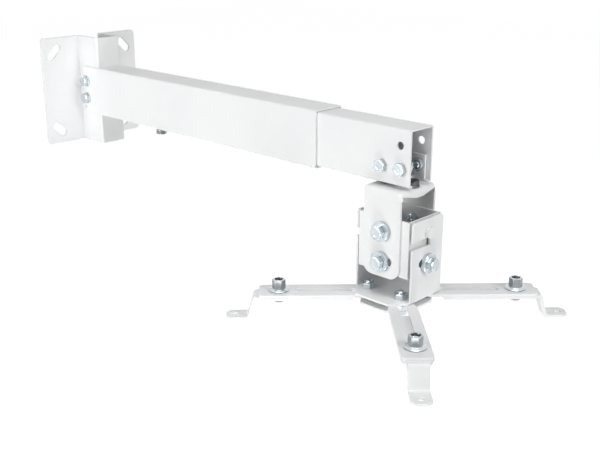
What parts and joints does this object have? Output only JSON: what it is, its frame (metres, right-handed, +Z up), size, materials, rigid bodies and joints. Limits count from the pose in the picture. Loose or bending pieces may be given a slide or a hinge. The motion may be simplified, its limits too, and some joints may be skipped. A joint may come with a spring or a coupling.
{
  "type": "projector mount",
  "caption": "White steel wall mount for a projector: a square telescopic boom with a tilting head and slotted arms that end in bent feet.",
  "frame": {"origin": "on the wall, at the height and middle of the boom", "axes": "+X along the boom away from the wall, +Y to the boom's far side, +Z up"},
  "size_m": [0.5419, 0.2152, 0.1965],
  "materials": {
    "white_paint": "satin powder coat",
    "zinc": "bright zinc plate"
  },
  "bodies": {
    "wall_mount": {"wall_bracket": "white_paint", "outer_tube": "white_paint", "wall_bolts": "zinc", "wall_washers": "zinc", "wall_nuts": "zinc", "tube_lock_screws": "zinc", "under_nut": "zinc", "under_screw": "zinc"},
    "boom": {"inner_tube": "white_paint", "end_channel": "white_paint", "channel_bolts": "zinc", "channel_nuts": "zinc", "swivel_bolt": "zinc", "swivel_spacer": "zinc", "swivel_washer": "zinc", "swivel_nut": "zinc"},
    "swivel_yoke": {"yoke": "white_paint", "stop_bolt": "zinc", "stop_washer": "zinc", "stop_nut": "zinc"},
    "tilt_block": {"cross_block": "white_paint", "roll_pins": "white_paint", "roll_spacers": "zinc", "tilt_bolts": "zinc", "tilt_washers": "zinc", "roll_bolts": "zinc", "roll_washers": "zinc", "block_nuts": "zinc"},
    "arm_carrier": {"lower_bracket": "white_paint", "clamp_plate": "white_paint"},
    "arm_pivot_1": {"arm_bolt_1": "zinc", "arm_spacer_1": "zinc", "arm_nut_1": "zinc"},
    "arm_1": {"slotted_arm_1": "white_paint", "leg_bolt_1": "zinc", "leg_nut_1": "zinc"},
    "foot_leg_1": {"leg_1": "white_paint"},
    "arm_pivot_2": {"arm_bolt_2": "zinc", "arm_spacer_2": "zinc", "arm_nut_2": "zinc"},
    "arm_2": {"slotted_arm_2": "white_paint", "leg_bolt_2": "zinc", "leg_nut_2": "zinc"},
    "foot_leg_2": {"leg_2": "white_paint"},
    "arm_pivot_3": {"arm_bolt_3": "zinc", "arm_spacer_3": "zinc", "arm_nut_3": "zinc"},
    "arm_3": {"slotted_arm_3": "white_paint", "leg_bolt_3": "zinc", "leg_nut_3": "zinc"},
    "foot_leg_3": {"leg_3": "white_paint"},
    "arm_pivot_4": {"arm_bolt_4": "zinc", "arm_spacer_4": "zinc", "arm_nut_4": "zinc"},
    "arm_4": {"slotted_arm_4": "white_paint", "leg_bolt_4": "zinc", "leg_nut_4": "zinc"},
    "foot_leg_4": {"leg_4": "white_paint"}
  },
  "joints": [
    {"name": "boom_extend", "type": "slide", "parent": "wall_mount", "child": "boom", "axis": [1, 0, 0], "range_m": [0, 0.22]},
    {"name": "head_swivel", "type": "hinge", "parent": "boom", "child": "swivel_yoke", "pos_m": [0.4202, 0, -0.0257], "axis": [0, 0, 1], "range_deg": [-11, 11]},
    {"name": "head_tilt", "type": "hinge", "parent": "swivel_yoke", "child": "tilt_block", "pos_m": [0.4306, 0, -0.06], "axis": [0, 1, 0], "range_deg": [-15, 15]},
    {"name": "head_roll", "type": "hinge", "parent": "tilt_block", "child": "arm_carrier", "pos_m": [0.4306, 0, -0.06], "axis": [1, 0, 0], "range_deg": [-15, 15]},
    {"name": "arm_swing_1", "type": "hinge", "parent": "arm_carrier", "child": "arm_pivot_1", "pos_m": [0.44757, 0.01697, -0.1183], "axis": [0, 0, 1], "range_deg": [-10, 10]},
    {"name": "arm_slide_1", "type": "slide", "parent": "arm_pivot_1", "child": "arm_1", "axis": [0.7071, 0.7071, 0], "range_m": [-0.0032, 0.0106]},
    {"name": "leg_swing_1", "type": "hinge", "parent": "arm_1", "child": "foot_leg_1", "pos_m": [0.50039, 0.06979, -0.1208], "axis": [0, 0, 1], "range_deg": [-15, 15]},
    {"name": "arm_swing_2", "type": "hinge", "parent": "arm_carrier", "child": "arm_pivot_2", "pos_m": [0.41363, 0.01697, -0.1183], "axis": [0, 0, 1], "range_deg": [-10, 10]},
    {"name": "arm_slide_2", "type": "slide", "parent": "arm_pivot_2", "child": "arm_2", "axis": [-0.7071, 0.7071, 0], "range_m": [-0.0032, 0.0106]},
    {"name": "leg_swing_2", "type": "hinge", "parent": "arm_2", "child": "foot_leg_2", "pos_m": [0.36081, 0.06979, -0.1208], "axis": [0, 0, 1], "range_deg": [-15, 15]},
    {"name": "arm_swing_3", "type": "hinge", "parent": "arm_carrier", "child": "arm_pivot_3", "pos_m": [0.41363, -0.01697, -0.1183], "axis": [0, 0, 1], "range_deg": [-10, 10]},
    {"name": "arm_slide_3", "type": "slide", "parent": "arm_pivot_3", "child": "arm_3", "axis": [-0.7071, -0.7071, 0], "range_m": [-0.0032, 0.0106]},
    {"name": "leg_swing_3", "type": "hinge", "parent": "arm_3", "child": "foot_leg_3", "pos_m": [0.36081, -0.06979, -0.1208], "axis": [0, 0, 1], "range_deg": [-15, 15]},
    {"name": "arm_swing_4", "type": "hinge", "parent": "arm_carrier", "child": "arm_pivot_4", "pos_m": [0.44757, -0.01697, -0.1183], "axis": [0, 0, 1], "range_deg": [-10, 10]},
    {"name": "arm_slide_4", "type": "slide", "parent": "arm_pivot_4", "child": "arm_4", "axis": [0.7071, -0.7071, 0], "range_m": [-0.0137, 0.0001]},
    {"name": "leg_swing_4", "type": "hinge", "parent": "arm_4", "child": "foot_leg_4", "pos_m": [0.50782, -0.07722, -0.1208], "axis": [0, 0, 1], "range_deg": [-15, 15]}
  ]
}
